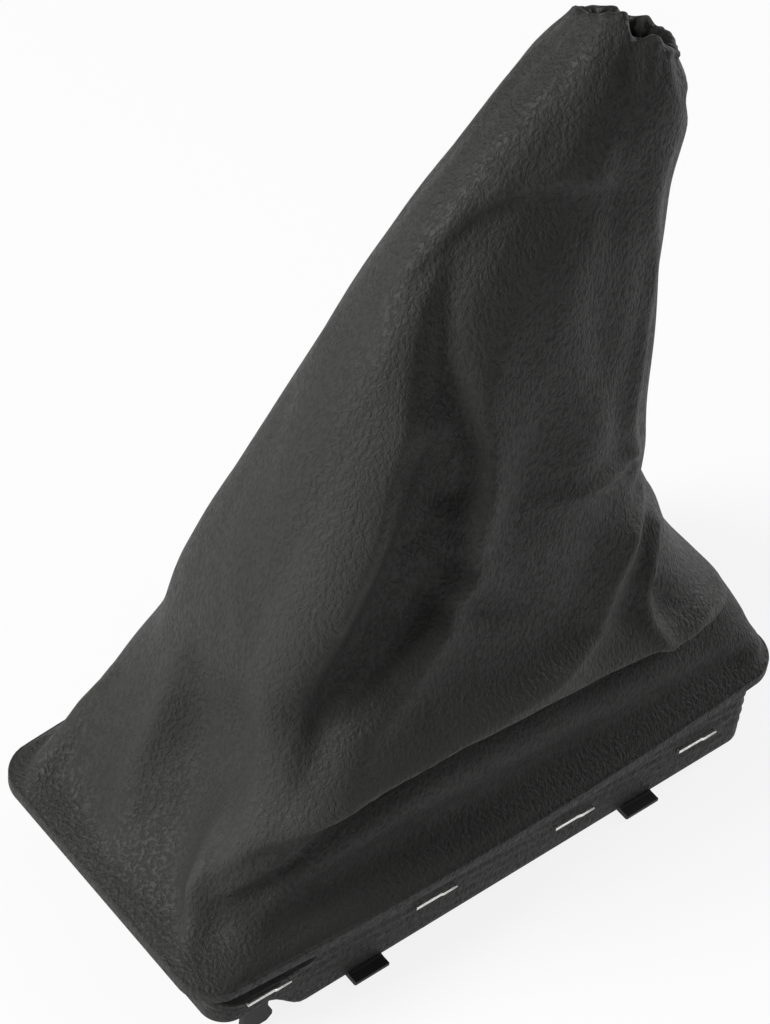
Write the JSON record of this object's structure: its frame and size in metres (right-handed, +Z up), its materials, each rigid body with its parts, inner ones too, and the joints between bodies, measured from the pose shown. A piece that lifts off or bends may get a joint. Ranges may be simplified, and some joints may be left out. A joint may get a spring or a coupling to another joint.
{
  "type": "handbrake gaiter",
  "caption": "Loose leatherette sleeve for a parking brake lever, wrapped and stapled round a snap-in plastic frame, with a gathered elastic neck.",
  "frame": {"origin": "under the middle of the rim, on the plane of the hook tips on which the part stands", "axes": "+Z up towards the neck, +X along the long side towards the end that the neck leans to, -Y towards the side with the visible staples in the picture"},
  "size_m": [0.178, 0.09, 0.2359],
  "materials": {
    "leatherette": "charcoal embossed grain, low sheen",
    "plastic": "black, moulded",
    "elastic": "black knitted elastic",
    "wire": "galvanised wire"
  },
  "bodies": {
    "root": {"gaiter_skin": "leatherette", "frame": "plastic", "neck_elastic": "elastic", "staple_near_1": "wire", "staple_near_2": "wire", "staple_near_3": "wire", "staple_near_4": "wire", "staple_far_1": "wire", "staple_far_2": "wire", "staple_far_3": "wire", "staple_far_4": "wire", "staple_front_1": "wire", "staple_front_2": "wire", "staple_rear_1": "wire", "staple_rear_2": "wire"}
  },
  "joints": []
}
